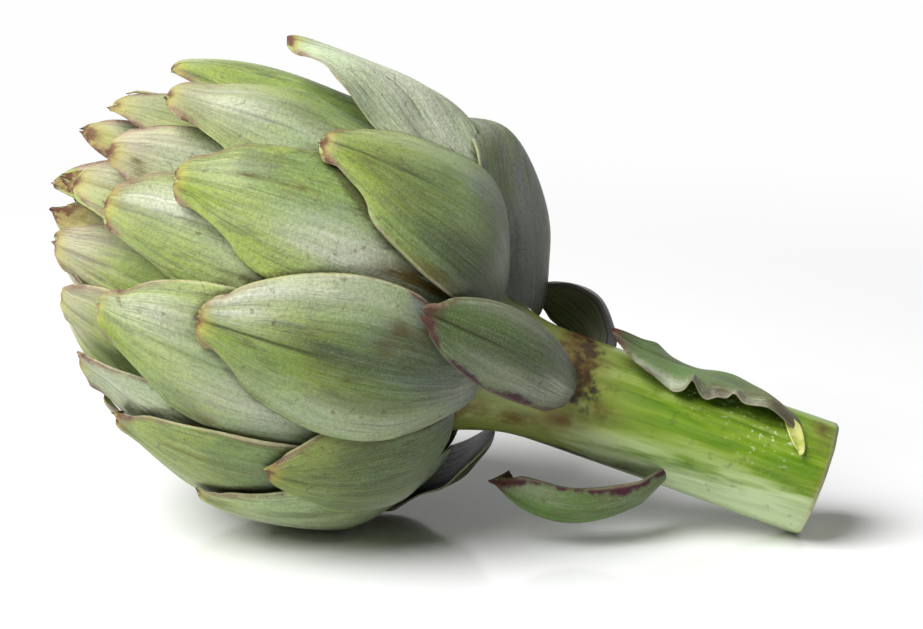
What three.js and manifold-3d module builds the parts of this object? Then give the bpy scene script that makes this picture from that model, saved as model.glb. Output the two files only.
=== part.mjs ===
// A globe artichoke as it is cut, lying on its side: a thick stem that swells into the heart, a
// choke and a bud of inner bracts on the heart, and overlapping bracts around them, each a separate
// fleshy leaf seated on the heart. Four small leaves sit on the stem. Millimetres, +Z up. The origin
// is on the surface that it lies on, in the middle of the flat spot where the belly rests. +X runs
// towards the cut end of the stem, and -Y towards the side that the big front bract faces.
import * as THREE from "three";
import Module from "manifold-3d";
import { mergeVertices } from "three/addons/utils/BufferGeometryUtils.js";

const wasm = await Module();
wasm.setup();
const { degToRad, radToDeg, smoothstep, lerp, clamp } = THREE.MathUtils;

// ---- Driving dimensions ----
const HEAD_HEIGHT = 50.8; // the head's centre above the table
const HEAD_AHEAD = 6; // how far it is towards the crown from the middle of the rest spot
const HEAD_ASIDE = 3.5; // and how far towards the far side
const HEAD_TILT = 19.7; // degrees by which the crown end of the head rises
const WAIST_RADIUS = 49.4; // the head's radius where it is widest
const CROWN_RISE = 12.5; // how much further than that the crown reaches from the centre
const SHOULDER_RISE = 4.2; // and the shoulder, near the stem
const WAIST_POLAR = 85; // degrees from the crown to the waist
const CROWN_LEAN = 5.5; // how far the crown leans towards the upper side
const CLEARANCE = 0.65; // between one leaf and the next
const SEAT_GAP = 0.7; // between a leaf's base and what it grows from
const FLESH = 2.6; // the thickest part of a bract
const DOME = 1.2; // how much rounder a bract is than the head
const OUTER_SEAT = 50; // distance from the head's centre to the outermost bract's base
const INNER_SEAT = 35; // and to the innermost bract's base
const STEM_OFFSET = 2.5; // how far the stem is from the head's axis, towards the upper side
const STEM_RADIUS = 13.6;
const CUT_RADIUS = 13.9;
const CUT_DISTANCE = 125; // from the head's centre to the stem's cut end
const CORNER_FLAT = 0.5; // how deep the table presses into the corner of the cut end
const HEART_TOP = 23; // distances along the axis to the heart's top, its foot and the stem proper
const HEART_FOOT = 43.5;
const STEM_START = 58;
const HEART_TOP_RADIUS = 24.5;
const HEART_FOOT_RADIUS = 18.3;
const RIBS = 11;
const RIB_HEIGHT = 0.35;
const CHOKE_RADIUS = 21;
const CHOKE_HEIGHT = 20;
const CHOKE_RINGS = [0, 0.25, 0.5, 0.72, 0.88, 0.97]; // as shares of its height
const BUD_RADIUS = 36; // the bud of inner bracts, where nothing keeps it smaller
const BUD_RINGS = [84, 72, 60, 48, 36, 24, 13, 4]; // their angles from the crown, in degrees
const BUD_LIFT = 1; // how far its foot is above the head's centre

// ---- The head's own directions ----
const headCentre = new THREE.Vector3(-HEAD_AHEAD, HEAD_ASIDE, HEAD_HEIGHT);
const crown = new THREE.Vector3(-Math.cos(degToRad(HEAD_TILT)), 0, Math.sin(degToRad(HEAD_TILT)));
const front = new THREE.Vector3(0, -1, 0);
const upper = new THREE.Vector3(crown.z, 0, -crown.x);

// A direction given by its polar angle from the crown and its azimuth from the front towards the
// upper side, both in degrees.
function headDirection(polar, azimuth) {
  const p = degToRad(polar);
  const a = degToRad(azimuth);
  return crown
    .clone()
    .multiplyScalar(Math.cos(p))
    .addScaledVector(front, Math.sin(p) * Math.cos(a))
    .addScaledVector(upper, Math.sin(p) * Math.sin(a));
}

// How far the closed head reaches from its centre in a direction.
function headReach(direction) {
  const polar = radToDeg(direction.angleTo(crown));
  if (polar > WAIST_POLAR) {
    return WAIST_RADIUS + SHOULDER_RISE * Math.sin(degToRad(1.8 * (polar - WAIST_POLAR))) ** 2;
  }
  const share = polar / WAIST_POLAR;
  const sideways = Math.max(Math.hypot(direction.dot(upper), direction.dot(front)), 1e-6);
  const lean = CROWN_LEAN * Math.sin(Math.PI * share ** 0.6) * (direction.dot(upper) / sideways);
  return WAIST_RADIUS + CROWN_RISE * Math.cos((Math.PI / 2) * share) ** 2 + lean;
}

// ---- Stem and heart ----
// The stem droops so far that the table flattens the corner of its cut end a little.
function stemDroop() {
  const start = headCentre.z - HEART_FOOT * crown.z + STEM_OFFSET * upper.z;
  const run = CUT_DISTANCE - HEART_FOOT;
  let droop = 0;
  while (start - run * Math.sin(droop) > CUT_RADIUS * Math.cos(droop) - CORNER_FLAT) droop += 0.0005;
  return droop;
}

const relativeRise = Math.tan(degToRad(HEAD_TILT) - stemDroop()); // towards the upper side

// The middle of the stem at a distance from the head's centre.
function stemMiddle(distance) {
  const aside = STEM_OFFSET * smoothstep(distance, HEART_TOP, HEART_FOOT);
  const rise = relativeRise * Math.max(distance - HEART_FOOT, 0);
  return headCentre.clone().addScaledVector(crown, -distance).addScaledVector(upper, aside + rise);
}

function stemRadius(distance) {
  if (distance < HEART_FOOT) {
    const share = (distance - HEART_TOP) / (HEART_FOOT - HEART_TOP);
    return lerp(HEART_TOP_RADIUS, HEART_FOOT_RADIUS, share);
  }
  const neck = lerp(HEART_FOOT_RADIUS, STEM_RADIUS, smoothstep(distance, HEART_FOOT - 6, STEM_START));
  return lerp(neck, CUT_RADIUS, smoothstep(distance, 90, CUT_DISTANCE));
}

// How far a point lies outside the stem and heart.
function outsideStem(point) {
  const distance = headCentre.clone().sub(point).dot(crown);
  const aside = point.distanceTo(stemMiddle(distance)) - stemRadius(Math.max(distance, HEART_TOP));
  return distance < HEART_TOP ? Math.hypot(Math.max(aside, 0), HEART_TOP - distance) : aside;
}

// A closed tube through rings, each a function from a turn in radians to a point.
function makeSweep(rings, segments) {
  const points = [];
  for (const ring of rings) {
    for (let i = 0; i < segments; i++) points.push(ring((2 * Math.PI * i) / segments));
  }
  const index = [];
  for (let j = 0; j < rings.length - 1; j++) {
    for (let i = 0; i < segments; i++) {
      const next = (i + 1) % segments;
      const [a, b] = [j * segments + i, j * segments + next];
      index.push(a, b, a + segments, b, b + segments, a + segments);
    }
  }
  const last = (rings.length - 1) * segments;
  for (let i = 1; i < segments - 1; i++) {
    index.push(0, i + 1, i);
    index.push(last, last + i, last + i + 1);
  }
  return new THREE.BufferGeometry().setFromPoints(points).setIndex(index);
}

// The stem is one sweep from the heart's broad top to the cut end, ribbed beyond the heart.
function makeStem() {
  const stops = [HEART_TOP, 30, 37, HEART_FOOT, 48, 53, STEM_START, 68, 80, 92, 104, 115, CUT_DISTANCE];
  const rings = stops.map((distance) => (turn) => {
    const ribbed = RIB_HEIGHT * smoothstep(distance, HEART_FOOT, STEM_START) * Math.cos(RIBS * turn);
    const radius = stemRadius(distance) - RIB_HEIGHT + ribbed;
    return stemMiddle(distance)
      .addScaledVector(front, -radius * Math.cos(turn))
      .addScaledVector(upper, radius * Math.sin(turn));
  });
  return makeSweep(rings, 3 * RIBS);
}

// The choke's bristles stand on the heart as one dome.
function makeChoke() {
  const rings = [];
  for (const share of CHOKE_RINGS) {
    const distance = HEART_TOP - SEAT_GAP - CHOKE_HEIGHT * share;
    const radius = CHOKE_RADIUS * Math.sqrt(1 - share * share);
    rings.push((turn) =>
      headCentre
        .clone()
        .addScaledVector(crown, -distance)
        .addScaledVector(front, radius * Math.cos(turn))
        .addScaledVector(upper, radius * Math.sin(turn)),
    );
  }
  return makeSweep(rings, 18);
}

// ---- Leaves ----
// A leaf is a curved sheet seen from its hub, a point that it curls round. Its spine runs from its
// base direction to its tip direction, and each cross row turns to both sides of the spine.
const built = [];
const ray = new THREE.Raycaster();

// The distance from a hub to whatever already lies outside it in a direction.
function ceiling(hub, direction) {
  ray.set(hub, direction);
  const hit = ray.intersectObjects(built, false)[0];
  return hit ? hit.distance - CLEARANCE : Infinity;
}

// A leaf's half width as a share of its widest, from its base at 0 to its tip at 1.
function outline(s, baseShare, tipShare) {
  const BLUNT_END = 0.08;
  const widest = 1 - tipShare;
  if (s < widest) return lerp(baseShare, 1, smoothstep(s, 0, widest));
  return lerp(BLUNT_END, 1, Math.sin((Math.PI / 2) * ((1 - s) / tipShare) ** 0.8));
}

// A leaf's thickness along its spine, as a share of its thickest.
function flesh(s) {
  const AT_BASE = 0.75;
  const AT_TIP = 0.42;
  return lerp(lerp(AT_BASE, 1, smoothstep(s, 0, 0.25)), AT_TIP, smoothstep(s, 0.3, 1));
}

// Keeps a sheet's distances from rising faster than a stiff leaf bends.
function stiffen(far, rows, columns) {
  const ALONG = 2.2; // how far a point may stand out from its neighbours on the spine
  const ACROSS = 1.1; // and from those beside it
  const PASSES = 60;
  for (let pass = 0; pass < PASSES; pass++) {
    for (let j = 0; j <= rows; j++) {
      for (let i = 0; i <= columns; i++) {
        if (j > 0 && j < rows) {
          far[j][i] = Math.min(far[j][i], (far[j - 1][i] + far[j + 1][i]) / 2 + ALONG);
        }
        if (i > 0 && i < columns) {
          far[j][i] = Math.min(far[j][i], (far[j][i - 1] + far[j][i + 1]) / 2 + ACROSS);
        }
      }
    }
  }
}

// Directions over a leaf: s runs along its spine from base to tip, and u across it from -1 to 1.
function makeAim(base, tip, halfWidth, distance) {
  const turn = base.angleTo(tip);
  const across = new THREE.Vector3().crossVectors(base, tip).normalize();
  return (s, u) => {
    const swing = Math.atan((u * halfWidth(s)) / distance);
    return base
      .clone()
      .multiplyScalar(Math.sin((1 - s) * turn))
      .addScaledVector(tip, Math.sin(s * turn))
      .divideScalar(Math.sin(turn))
      .multiplyScalar(Math.cos(swing))
      .addScaledVector(across, Math.sin(swing));
  };
}

// Places on a leaf and near a mesh point where the room under the leaves outside it is measured.
const SPINE_AND_EDGES = [-1, 0, 1];
const ACROSS_BASE = [-1, -0.5, 0, 0.5, 1];
const FOOT = [0, 0.04, 0.08];
const NEXT_ROWS = [-0.6, -0.3, 0, 0.3, 0.6];
const NEXT_COLUMNS = [-0.7, -0.35, 0, 0.35, 0.7];
const LONGEST_TIP = 0.65; // as a share of the leaf's length
const LOWEST_BASE = 175; // degrees from the crown
const BASE_STEP = 0.5;
const SHORTEST_LEAF = 20; // degrees

// azimuth is that of the tip, skew turns the base further, tip is the tip's polar angle, seat the
// base's distance from the hub and reach the leaf's distance in a direction at a share of its spine.
function makeLeaf(spec) {
  const { azimuth, skew = 0, tip, width, reach, hub = headCentre, thick = FLESH } = spec;
  const { baseShare = 0.38, tipLength = 0.95 * width, rows = 7, columns = 6 } = spec;
  const { girth = 52, crowding = 1.3 } = spec;
  const tipDirection = headDirection(tip, azimuth);
  let seat = spec.seat;
  let aim;
  const aimFrom = (polar) => {
    const base = headDirection(polar, azimuth + skew);
    const tipShare = Math.min(tipLength / (base.angleTo(tipDirection) * girth), LONGEST_TIP);
    const halfWidth = (s) => (width / 2) * outline(s, baseShare, tipShare);
    return makeAim(base, tipDirection, halfWidth, girth);
  };
  // The base comes as near to the stem as it can without touching it.
  const clear = (polar) => {
    const trial = aimFrom(polar);
    return SPINE_AND_EDGES.every((u) =>
      [seat, seat - thick].every((distance) =>
        FOOT.every((s) => outsideStem(trial(s, u).multiplyScalar(distance).add(hub)) > SEAT_GAP),
      ),
    );
  };
  for (let pass = 0; pass < 3; pass++) {
    let polar = tip + SHORTEST_LEAF;
    while (polar < LOWEST_BASE && clear(polar + BASE_STEP)) polar += BASE_STEP;
    aim = aimFrom(polar);
    for (const u of ACROSS_BASE) {
      seat = Math.min(seat, ...FOOT.map((s) => ceiling(hub, aim(s, u))));
    }
  }
  const place = (j) => 1 - (1 - clamp(j, 0, rows) / rows) ** crowding;
  const side = (i) => clamp((2 * i) / columns - 1, -1, 1);

  // Each point lies as far out as the leaf wants to, on the table or just under what covers it.
  const far = [];
  for (let j = 0; j <= rows; j++) {
    far.push([]);
    for (let i = 0; i <= columns; i++) {
      const direction = aim(place(j), side(i));
      const table = direction.z < 0 ? -hub.z / direction.z : Infinity;
      let limit = Math.min(reach(direction, place(j), side(i), seat), table);
      for (const dj of NEXT_ROWS) {
        for (const di of NEXT_COLUMNS) {
          limit = Math.min(limit, ceiling(hub, aim(place(j + dj), side(i + di))));
        }
      }
      far[j].push(limit);
    }
  }
  stiffen(far, rows, columns);

  const points = [];
  const outer = [];
  const inner = [];
  for (let j = 0; j <= rows; j++) {
    outer.push([]);
    inner.push([]);
    for (let i = 0; i <= columns; i++) {
      const s = place(j);
      const u = side(i);
      const direction = aim(s, u);
      outer[j].push(points.push(direction.clone().multiplyScalar(far[j][i]).add(hub)) - 1);
      if (j === rows || i === 0 || i === columns) {
        inner[j].push(outer[j][i]);
      } else {
        const depth = far[j][i] - thick * flesh(s) * (1 - u * u) ** 0.6;
        inner[j].push(points.push(direction.multiplyScalar(depth).add(hub)) - 1);
      }
    }
  }
  const index = [];
  const quad = (a, b, c, d) => {
    for (const [p, q, r] of [[a, b, c], [a, c, d]]) {
      if (p !== q && q !== r && r !== p) index.push(p, q, r);
    }
  };
  for (let j = 0; j < rows; j++) {
    for (let i = 0; i < columns; i++) {
      quad(outer[j][i], outer[j + 1][i], outer[j + 1][i + 1], outer[j][i + 1]);
      quad(inner[j][i], inner[j][i + 1], inner[j + 1][i + 1], inner[j + 1][i]);
    }
  }
  for (let i = 0; i < columns; i++) {
    quad(outer[0][i], outer[0][i + 1], inner[0][i + 1], inner[0][i]);
  }
  return new THREE.BufferGeometry().setFromPoints(points).setIndex(index);
}

// ---- Parts ----
const artichoke = new THREE.Group();
const BRACT_GREEN = { color: 0x9db37a, roughness: 0.6, metalness: 0 };
const STEM_GREEN = { color: 0x9dbb55, roughness: 0.5, metalness: 0 };
const LEAF_GREEN = { color: 0x6f8a52, roughness: 0.6, metalness: 0 };
const CHOKE_STRAW = { color: 0xd8cf9c, roughness: 0.9, metalness: 0 };

// Cuts a part flat where it would go below the table.
function trimToTable(geometry) {
  geometry.computeBoundingBox();
  if (geometry.boundingBox.min.z >= 0) return geometry;
  const merged = mergeVertices(geometry);
  const mesh = new wasm.Mesh({
    numProp: 3,
    vertProperties: Float32Array.from(merged.attributes.position.array),
    triVerts: Uint32Array.from(merged.index.array),
  });
  const cut = new wasm.Manifold(mesh).trimByPlane([0, 0, 1], 0).getMesh();
  const trimmed = new THREE.BufferGeometry();
  trimmed.setAttribute("position", new THREE.BufferAttribute(cut.vertProperties, 3));
  return trimmed.setIndex(new THREE.BufferAttribute(cut.triVerts, 1));
}

function addPart(name, finish, geometry) {
  const trimmed = trimToTable(geometry);
  trimmed.computeVertexNormals();
  const mesh = new THREE.Mesh(trimmed, new THREE.MeshStandardMaterial(finish));
  mesh.name = name;
  artichoke.add(mesh);
  return mesh;
}

function addLeaf(name, finish, spec) {
  built.push(addPart(name, finish, makeLeaf(spec)));
}

addPart("stem_and_heart", STEM_GREEN, makeStem());
addPart("choke", CHOKE_STRAW, makeChoke());

// ---- Leaves on the stem ----
// A short cupped one that points back over the head, its tip lying on the head.
const FRONT_TIP = { azimuth: 26, tip: 121 };
addLeaf("stem_leaf_front", LEAF_GREEN, {
  ...FRONT_TIP,
  width: 21,
  seat: 69.5,
  baseShare: 0.54,
  girth: 63,
  tipLength: 22,
  thick: 2.4,
  reach: (direction, s, u, seat) =>
    lerp(seat, headReach(headDirection(FRONT_TIP.tip, FRONT_TIP.azimuth)) + 3, smoothstep(s, 0, 1)) -
    1.5 * u * u,
});
// One that arches up and back behind the head's shoulder.
addLeaf("stem_leaf_back", LEAF_GREEN, {
  hub: stemMiddle(60),
  azimuth: 128,
  tip: 70,
  width: 24,
  seat: 20,
  baseShare: 0.6,
  girth: 25,
  tipLength: 16,
  thick: 1.6,
  reach: (direction, s, u, seat) => lerp(seat, 25, smoothstep(s, 0, 0.6)) - 1.2 * u * u,
});
// One that hangs under the stem, with its tip turned back towards the head.
addLeaf("stem_leaf_lower", LEAF_GREEN, {
  hub: stemMiddle(73),
  azimuth: -54,
  skew: 10,
  tip: 57,
  width: 14,
  seat: 23,
  baseShare: 0.8,
  girth: 26,
  tipLength: 16,
  thick: 2.2,
  reach: (direction, s, u, seat) =>
    lerp(seat, 32.5, s) + 2.5 * Math.sin(Math.PI * s) - 5 * u * u * smoothstep(s, 0, 0.3),
});
// A withered one that lies along the top of the stem, its tip curling up.
addLeaf("stem_leaf_withered", LEAF_GREEN, {
  hub: stemMiddle(95),
  azimuth: 73,
  tip: 35,
  width: 20,
  seat: 31,
  baseShare: 0.6,
  girth: 18,
  tipLength: 9,
  rows: 12,
  crowding: 1,
  thick: 1.3,
  reach: (direction, s, u) => {
    const wave = 0.9 * Math.sin(9 * s + 2 * u) * u * u;
    const off = STEM_RADIUS + 1.9 + 2.4 * smoothstep(s, 0.82, 1) + wave;
    return off / Math.sin(direction.angleTo(crown));
  },
});

// ---- Bracts on the head ----
// A leaf rises from its seat to the head's surface within the share ROOTED of its length. lift is how
// far it then stands off the head from the share opens of its length on, and bulge how far it does
// nearer its base, within the share swells of its length.
const ROOTED = 0.28;

function addBract(name, order, bract) {
  const { lift = 0, opens = 0.5, bulge = 0, swells = 0.62 } = bract;
  const reach = (direction, s, u, seat) =>
    lerp(seat, headReach(direction), smoothstep(s, 0, ROOTED)) +
    DOME * (smoothstep(s, 0.35, 1) - 0.4 - 0.6 * u * u) * smoothstep(s, 0, ROOTED) +
    lift * smoothstep(s, opens, Math.min(opens + 0.5, 1)) +
    bulge * Math.sin(Math.PI * clamp(s / swells, 0, 1)) ** 2;
  addLeaf(name, BRACT_GREEN, { seat: lerp(OUTER_SEAT, INNER_SEAT, order), reach, ...bract });
}

// Each row from its outermost bract to its innermost.
const OUTER = [
  { azimuth: 4, skew: 12, tip: 71, width: 40, lift: 0.8, bulge: 0.8 },
  { azimuth: 62, skew: 0, tip: 83, width: 45, bulge: 2.5 },
  { azimuth: -32, skew: 16, tip: 99, width: 37, seat: 52, baseShare: 0.6 },
  { azimuth: 268, skew: 6, tip: 128, width: 38, seat: 55, bulge: 4.5, baseShare: 0.6, lift: -0.5 },
  { azimuth: -56, skew: -26, tip: 83, width: 50, lift: 1, bulge: 1.6 },
  { azimuth: 240, skew: 0, tip: 86, width: 40 },
  { azimuth: 212, skew: -10, tip: 97, width: 38 },
  { azimuth: 94, skew: -20, tip: 68, width: 26, seat: 52, lift: 8.5, opens: 0.05, tipLength: 18 },
  { azimuth: 124, skew: -22, tip: 90, width: 42, seat: 55, bulge: 13, swells: 0.66 },
  { azimuth: 174, skew: -8, tip: 76, width: 42 },
];
const MIDDLE = [
  { azimuth: -50, skew: 10, tip: 54, width: 46 },
  { azimuth: 38, skew: 4, tip: 54, width: 42 },
  { azimuth: 232, skew: -6, tip: 56, width: 44 },
  { azimuth: 146, skew: 6, tip: 55, width: 44 },
  { azimuth: 272, skew: 4, tip: 62, width: 40 },
  { azimuth: 65, skew: -2, tip: 46, width: 40 },
  { azimuth: -8, skew: 6, tip: 44, width: 40 },
  { azimuth: 190, skew: -4, tip: 48, width: 42 },
  { azimuth: 90, skew: 4, tip: 42, width: 36, lift: 1.5 },
  { azimuth: 116, skew: 4, tip: 45, width: 37 },
  { azimuth: 26, skew: -4, tip: 39, width: 36 },
];
const UPPER = [
  { azimuth: -43, skew: 14, tip: 38, width: 28, lift: 3 },
  { azimuth: 254, skew: 4, tip: 42, width: 34 },
  { azimuth: 164, skew: 6, tip: 37, width: 34 },
  { azimuth: 44, skew: 4, tip: 35, width: 32 },
  { azimuth: 214, skew: -6, tip: 38, width: 32 },
  { azimuth: 292, skew: -6, tip: 45, width: 30, lift: -1 },
  { azimuth: 134, skew: -4, tip: 34, width: 30 },
  { azimuth: 72, skew: 2, tip: 30, width: 28 },
  { azimuth: -20, skew: 6, tip: 29, width: 26 },
  { azimuth: 104, skew: 2, tip: 30, width: 28 },
  { azimuth: 186, skew: 4, tip: 28, width: 28 },
  { azimuth: 236, skew: 4, tip: 29, width: 28, lift: -1 },
  { azimuth: 34, skew: 0, tip: 27, width: 24 },
];
const CROWN = [
  { azimuth: 66, skew: -6, tip: 23, width: 26 },
  { azimuth: 276, skew: 4, tip: 27, width: 26, lift: -2 },
  { azimuth: 0, skew: 10, tip: 21, width: 30 },
  { azimuth: 150, skew: 4, tip: 22, width: 28 },
  { azimuth: 38, skew: 4, tip: 20, width: 24 },
  { azimuth: 208, skew: -4, tip: 21, width: 28, lift: -1 },
  { azimuth: -44, skew: 4, tip: 24, width: 26, lift: -2.5 },
  { azimuth: 100, skew: 0, tip: 18, width: 26 },
  { azimuth: 18, skew: 4, tip: 16, width: 24 },
  { azimuth: 250, skew: 4, tip: 16, width: 28, lift: -2 },
  { azimuth: 176, skew: 0, tip: 10, width: 30, lift: -1 },
  { azimuth: 60, skew: 0, tip: 8, width: 30, lift: -1 },
  { azimuth: 300, skew: 0, tip: 6, width: 32, lift: -2 },
  { azimuth: 120, skew: 0, tip: 0, width: 34, lift: -1.5 },
  { azimuth: 232, skew: 0, tip: -6, width: 36, lift: -2 },
  { azimuth: 0, skew: 0, tip: -6, width: 34, lift: -2 },
];
const ROWS = {
  outer: { bracts: OUTER, shape: { rows: 9 } },
  middle: { bracts: MIDDLE, shape: { rows: 8 } },
  upper: { bracts: UPPER, shape: { rows: 8, columns: 4, crowding: 1.5 } },
  crown: { bracts: CROWN, shape: { rows: 8, columns: 4, crowding: 1.4 } },
};
const bractCount = Object.values(ROWS).reduce((sum, row) => sum + row.bracts.length, 0);

let done = 0;
for (const [row, { bracts, shape }] of Object.entries(ROWS)) {
  bracts.forEach((bract, k) => {
    addBract(`${row}_bract_${k + 1}`, done / (bractCount - 1), { ...shape, ...bract });
    done += 1;
  });
}

// ---- Bud of inner bracts ----
// The youngest bracts are pressed together over the choke, and fill the head as one solid bud.
function makeBud() {
  const NEAR = [-6, 0, 6];
  const foot = headCentre.clone().addScaledVector(crown, BUD_LIFT);
  const rings = BUD_RINGS.map((polar) => (turn) => {
    const azimuth = radToDeg(turn);
    const room = (dp, da) => ceiling(foot, headDirection(polar + dp, azimuth + da));
    const distance = Math.min(BUD_RADIUS, ...NEAR.flatMap((dp) => NEAR.map((da) => room(dp, da))));
    return headDirection(polar, azimuth).multiplyScalar(distance).add(foot);
  });
  return makeSweep(rings, 20);
}

addPart("inner_bracts", BRACT_GREEN, makeBud());

export default artichoke;
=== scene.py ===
import math

import bmesh
import bpy
import numpy as np
from mathutils import Matrix, Quaternion, Vector
from mathutils.bvhtree import BVHTree


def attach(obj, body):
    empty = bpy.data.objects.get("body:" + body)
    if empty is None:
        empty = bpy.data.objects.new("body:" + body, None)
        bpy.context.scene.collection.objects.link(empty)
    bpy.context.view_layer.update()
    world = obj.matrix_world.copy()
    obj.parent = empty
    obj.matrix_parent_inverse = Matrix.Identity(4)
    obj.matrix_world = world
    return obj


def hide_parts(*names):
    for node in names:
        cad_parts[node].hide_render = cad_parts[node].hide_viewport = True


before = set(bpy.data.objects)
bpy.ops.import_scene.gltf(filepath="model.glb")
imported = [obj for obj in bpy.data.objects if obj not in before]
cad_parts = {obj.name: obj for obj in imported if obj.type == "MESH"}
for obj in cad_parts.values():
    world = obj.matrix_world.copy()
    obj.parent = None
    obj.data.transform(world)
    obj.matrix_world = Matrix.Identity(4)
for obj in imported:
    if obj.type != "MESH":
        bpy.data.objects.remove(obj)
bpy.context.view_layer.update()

# ---- Stem and heart ----
# The stem is the thick ribbed stalk that the head grew on, cut across with a knife. It is smooth and
# juicy, lime green with paler bands along its ribs, and browns where old leaves have come away.
MM = 0.001
ROUNDS = 3  # subdivisions of a stem or a leaf
STEM_SHARP = 50  # degrees; the cut's edge turns further, and stays sharp
HEART_DEPTH = 44  # mm from the head's centre to where the stem's line starts
CUT_REACH = 12  # mm of stem by the cut, whose middle the stem's line runs to
FIBRE_RING = 0.78, 0.08  # its radius on the cut face and its width, as shares of the face's radius
CUT_RIM = 0.9  # mm of skin that dries along the cut


def copy_of(node, name):
    """A merged copy of a CAD node's mesh, ready to be worked on."""
    bpy.ops.object.select_all(action="DESELECT")
    piece = bpy.data.objects.new(name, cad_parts[node].data.copy())
    bpy.context.scene.collection.objects.link(piece)
    piece.data.materials.clear()
    piece.select_set(True)
    bpy.context.view_layer.objects.active = piece
    bpy.ops.object.mode_set(mode="EDIT")
    bpy.ops.mesh.select_all(action="SELECT")
    bpy.ops.mesh.remove_doubles(threshold=0.001 * MM)
    bpy.ops.mesh.tris_convert_to_quads(face_threshold=math.pi, shape_threshold=math.pi)
    bpy.ops.object.mode_set(mode="OBJECT")
    return piece


def round_off(piece, levels, sharp):
    """Smooths a coarse mesh by subdivision, and keeps edges that turn further than sharp degrees."""
    bm = bmesh.new()
    bm.from_mesh(piece.data)
    crease = bm.edges.layers.float.get("crease_edge") or bm.edges.layers.float.new("crease_edge")
    for edge in bm.edges:
        if edge.calc_face_angle(0.0) > math.radians(sharp):
            edge[crease] = 1.0
    bm.to_mesh(piece.data)
    bm.free()
    subdivide = piece.modifiers.new("round", "SUBSURF")
    subdivide.levels = levels
    subdivide.render_levels = levels
    bpy.context.view_layer.objects.active = piece
    bpy.ops.object.modifier_apply(modifier=subdivide.name)
    piece.data.shade_smooth()


def points_of(piece):
    flat = np.empty(3 * len(piece.data.vertices))
    piece.data.vertices.foreach_get("co", flat)
    return flat.reshape(-1, 3)


def set_points(piece, points):
    piece.data.vertices.foreach_set("co", points.ravel())
    piece.data.update()


def normals_of(piece):
    flat = np.empty(3 * len(piece.data.vertices))
    piece.data.vertex_normals.foreach_get("vector", flat)
    return flat.reshape(-1, 3)


def keep(piece, name, values):
    """Stores one number or one vector for each vertex, for the piece's material to read."""
    values = np.asarray(values, np.float32)
    kind, field = ("FLOAT", "value") if values.ndim == 1 else ("FLOAT_VECTOR", "vector")
    piece.data.attributes.new(name, kind, "POINT").data.foreach_set(field, values.ravel())


def ramp(x, low, high):
    t = np.clip((x - low) / (high - low), 0, 1)
    return t * t * (3 - 2 * t)


def unit(v):
    return v / np.linalg.norm(v)


def node_points(*nodes):
    return np.vstack([[v.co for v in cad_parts[n].data.vertices] for n in nodes])


def middle_of_ball(points):
    """The centre of the ball that fits points best."""
    rows = np.hstack([2 * points, np.ones((len(points), 1))])
    return np.linalg.lstsq(rows, (points**2).sum(1), rcond=None)[0][:3]


def bracts(row):
    return sorted((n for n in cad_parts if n.startswith(row)), key=lambda n: int(n.split("_")[-1]))


HUB = middle_of_ball(node_points(*bracts("middle_bract")))  # the head's centre
CROWN = unit(node_points(*bracts("crown_bract")).mean(0) - HUB)  # the way from it to the crown


class Tree:
    """Adds nodes to a material's, a group's or a world's tree, and gives back the output of each."""

    def __init__(self, node_tree):
        self.nodes = node_tree.nodes
        self.links = node_tree.links

    def join(self, value, socket):
        self.links.new(value, socket)

    def fill(self, socket, value):
        """Links a socket to another node's output, or sets it to a plain value."""
        if isinstance(value, bpy.types.NodeSocket):
            self.join(value, socket)
        else:
            socket.default_value = value

    def add(self, kind, out=0, settings=None, **inputs):
        """A new node. Its inputs go by name, with _ for a space, or by number: i0 is the first."""
        made = self.nodes.new(kind)
        for key, value in (settings or {}).items():
            setattr(made, key, value)
        for key, value in inputs.items():
            numbered = key[0] == "i" and key[1:].isdigit()
            self.fill(made.inputs[int(key[1:]) if numbered else key.replace("_", " ")], value)
        return made.outputs[out]

    def use(self, made, **inputs):
        """A node group, placed with its own values."""
        node = self.nodes.new("ShaderNodeGroup")
        node.node_tree = made
        for key, value in inputs.items():
            self.fill(node.inputs[key], value)
        return node.outputs[0]

    def math(self, operation, a, b=0.0):
        return self.add("ShaderNodeMath", settings={"operation": operation}, i0=a, i1=b)

    def times(self, product, *others):
        for other in others:
            product = self.math("MULTIPLY", product, other)
        return product

    def range(self, value, low, high, to_low=0.0, to_high=1.0):
        return self.add(
            "ShaderNodeMapRange",
            settings={"interpolation_type": "SMOOTHSTEP"},
            Value=value,
            From_Min=low,
            From_Max=high,
            To_Min=to_low,
            To_Max=to_high,
        )

    def mix(self, share, first, second):
        return self.add("ShaderNodeMix", out=2, settings={"data_type": "RGBA"}, i0=share, i6=first, i7=second)

    def attribute(self, name, out="Fac"):
        return self.add("ShaderNodeAttribute", out=out, settings={"attribute_name": name})


def colour(red, green, blue):
    """A colour given in sRGB from 0 to 255."""
    shares = (red / 255, green / 255, blue / 255)
    return (*[c / 12.92 if c <= 0.04045 else ((c + 0.055) / 1.055) ** 2.4 for c in shares], 1.0)


def group(name, inputs, outputs, fill):
    """A shader node group with named sockets. fill builds its inside and returns its outputs."""
    made = bpy.data.node_groups.new(name, "ShaderNodeTree")
    for socket, (kind, value) in inputs.items():
        new = made.interface.new_socket(socket, in_out="INPUT", socket_type=kind)
        new.default_value = value
    for socket, kind in outputs.items():
        made.interface.new_socket(socket, in_out="OUTPUT", socket_type=kind)
    tree = Tree(made)
    start = made.nodes.new("NodeGroupInput")
    end = made.nodes.new("NodeGroupOutput")
    for socket, result in zip(end.inputs, fill(tree, start.outputs)):
        made.links.new(result, socket)
    return made


FLOAT = "NodeSocketFloat"
VECTOR = "NodeSocketVector"


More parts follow.
